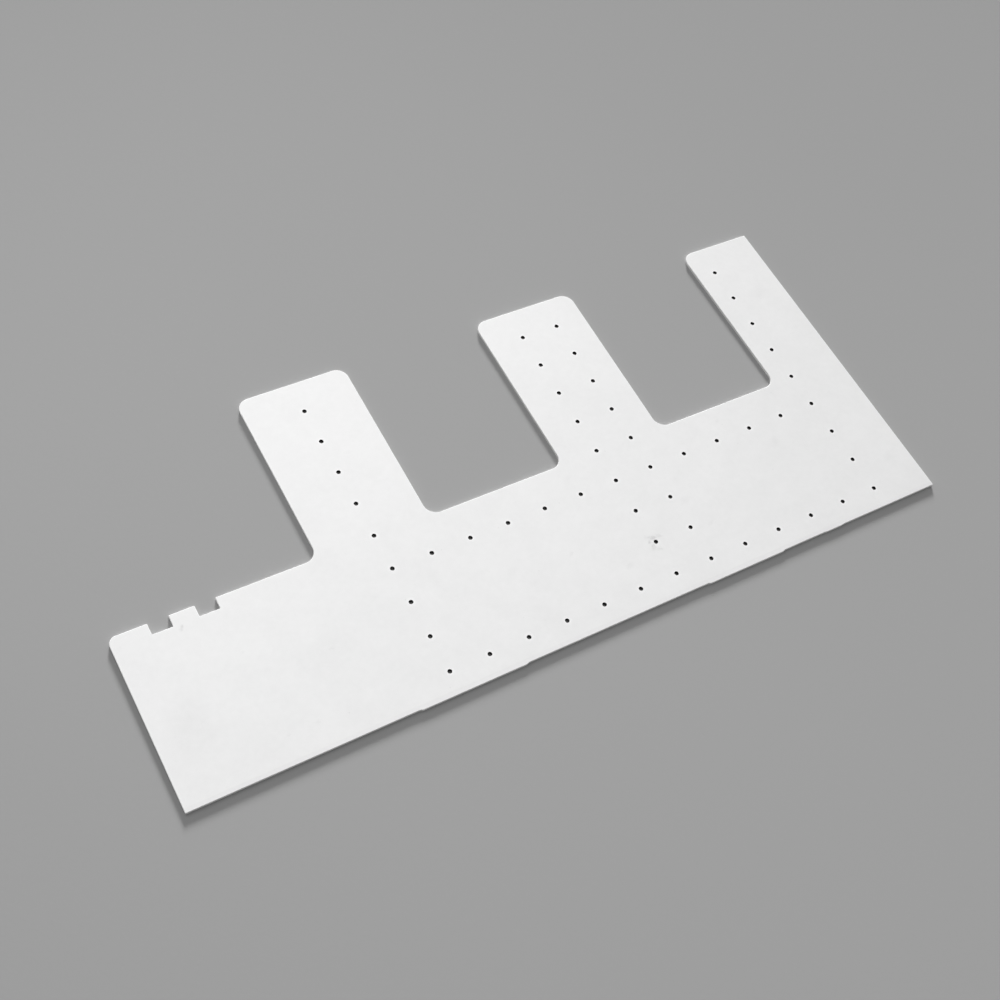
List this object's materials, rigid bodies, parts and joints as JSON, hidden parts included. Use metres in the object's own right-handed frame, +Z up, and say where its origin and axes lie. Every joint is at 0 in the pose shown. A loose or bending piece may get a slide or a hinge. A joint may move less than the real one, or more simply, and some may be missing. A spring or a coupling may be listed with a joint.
{
  "type": "alumina ceramic carrier",
  "caption": "Thin flat ceramic carrier plate with a straight long edge, fingers along the other side, small square locating notches and rows of fine through holes.",
  "frame": {"origin": "on the underside, below the middle of the plate's outline", "axes": "+X along the plate from its plain, notched end to the end that the third finger is flush with; +Y across it from the straight long edge to the fingertips; +Z up through the thickness, out of the top face"},
  "size_m": [0.198, 0.087, 0.0008],
  "materials": {
    "alumina": "matte"
  },
  "bodies": {
    "root": {"carrier_plate": "alumina"}
  },
  "joints": []
}
